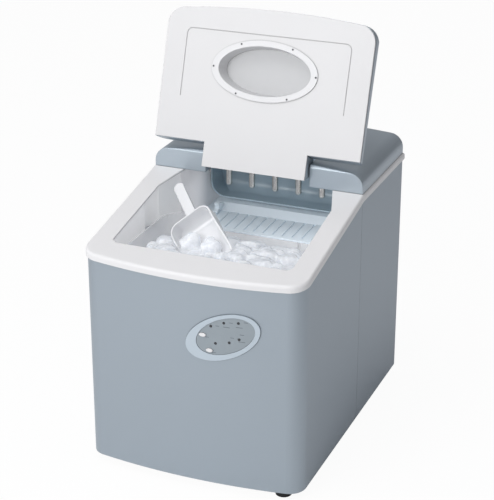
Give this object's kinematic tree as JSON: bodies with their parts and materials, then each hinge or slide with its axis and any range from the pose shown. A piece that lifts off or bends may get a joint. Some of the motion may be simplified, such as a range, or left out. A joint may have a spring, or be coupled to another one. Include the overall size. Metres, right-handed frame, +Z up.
{
  "type": "ice maker",
  "caption": "Countertop ice maker with a bowed front, sloping mouth, oval control panel, and a rear-hinged lid with an oval window, shown open over a basket of ice and its scoop.",
  "frame": {"origin": "on the floor, under the middle of the body", "axes": "+Z up, the bowed front faces -Y, +X to the right of someone facing the front"},
  "size_m": [0.316, 0.4309, 0.5854],
  "materials": {
    "front_metal": "satin metallic grey-blue",
    "side_metal": "satin metallic grey",
    "zinc_sheet": "plain grey",
    "white_plastic": "soft gloss white",
    "grey_plastic": "satin grey-blue",
    "lining": "matte white",
    "foam": "foam",
    "steel_screw": "plain",
    "window_plastic": "smoked clear",
    "ring_plastic": "satin light grey-blue",
    "panel_film": "grey film",
    "dark_lens": "dark",
    "board": "green board",
    "nickel": "nickel plated",
    "tray_plastic": "dark grey-blue",
    "slide_plastic": "pale blue-grey",
    "clear_plastic": "milky clear",
    "ice": "cloudy ice",
    "rubber_black": "matte",
    "black_plastic": "black",
    "black_steel": "black enamel",
    "copper": "copper",
    "fin_metal": "plain",
    "hose": "clear silicone"
  },
  "bodies": {
    "cabinet": {"base_pan": "zinc_sheet", "feet": "rubber_black", "foot_screws": "steel_screw", "front_wrap": "front_metal", "side_panel_left": "side_metal", "side_panel_right": "side_metal", "rear_panel": "zinc_sheet", "panel_screws": "steel_screw", "bezel": "white_plastic", "top_cover": "grey_plastic", "hinge_pins": "steel_screw", "tub": "lining", "insulation": "foam", "control_ring": "ring_plastic", "control_overlay": "panel_film", "led_lenses": "dark_lens", "control_board": "board", "evaporator": "nickel", "evaporator_bracket": "zinc_sheet", "tray_motor": "steel_screw", "motor_cover": "lining", "tray_bearing": "lining", "ice_slide": "slide_plastic", "ice_sensor": "black_plastic", "pocket_strainer": "grey_plastic", "water_pump": "black_plastic", "pump_hose": "hose", "compressor": "black_steel", "compressor_grommets": "rubber_black", "condenser": "fin_metal", "fan_shroud": "black_plastic", "fan_motor": "steel_screw", "filter_drier": "copper", "hot_gas_valve": "copper", "discharge_pipe": "copper", "suction_pipe": "copper", "power_board": "board", "power_inlet": "black_plastic", "drain_spout": "lining"},
    "lid": {"lid_shell": "grey_plastic", "lid_liner": "white_plastic", "window_ring": "white_plastic", "window_pane": "window_plastic", "window_screws": "steel_screw", "window_trim": "grey_plastic"},
    "power_key": {"power_button": "white_plastic"},
    "select_key": {"select_button": "white_plastic"},
    "tray": {"water_tray": "tray_plastic", "tray_coupling": "lining"},
    "shovel": {"ice_shovel": "slide_plastic"},
    "basket": {"ice_basket": "clear_plastic", "ice_pile": "ice"},
    "scoop": {"scoop": "clear_plastic", "scoop_ice": "ice"},
    "fan": {"fan_blade": "lining"},
    "cap": {"drain_cap": "rubber_black"}
  },
  "joints": [
    {"name": "lid_hinge", "type": "hinge", "parent": "cabinet", "child": "lid", "pos_m": [0, 0.03985, 0.3833], "axis": [1, 0, 0], "range_deg": [0, 119]},
    {"name": "power_press", "type": "slide", "parent": "cabinet", "child": "power_key", "axis": [0, 1, 0], "range_m": [0, 0.001], "stiffness_N_per_m": 600},
    {"name": "select_press", "type": "slide", "parent": "cabinet", "child": "select_key", "axis": [0, 1, 0], "range_m": [0, 0.001], "stiffness_N_per_m": 600},
    {"name": "tray_tilt", "type": "hinge", "parent": "cabinet", "child": "tray", "pos_m": [0, 0.098, 0.3404], "axis": [1, 0, 0], "range_deg": [-90, 0]},
    {"name": "shovel_slide", "type": "slide", "parent": "cabinet", "child": "shovel", "axis": [0, -1, 0], "range_m": [0, 0.04]},
    {"name": "basket_lift", "type": "slide", "parent": "cabinet", "child": "basket", "axis": [0, 0, 1], "range_m": [0, 0.215]},
    {"name": "scoop_lift", "type": "slide", "parent": "basket", "child": "scoop", "axis": [0, 0, 1], "range_m": [0, 0.16]},
    {"name": "fan_spin", "type": "hinge", "parent": "cabinet", "child": "fan", "pos_m": [0.07, 0.172, 0.0872], "axis": [0, 1, 0], "continuous": true},
    {"name": "cap_pull", "type": "slide", "parent": "cabinet", "child": "cap", "axis": [-1, 0, 0], "range_m": [0, 0.03]}
  ],
  "couplings": [
    {"joint": "shovel_slide", "follows": "tray_tilt", "m_per_rad": -0.025465}
  ]
}
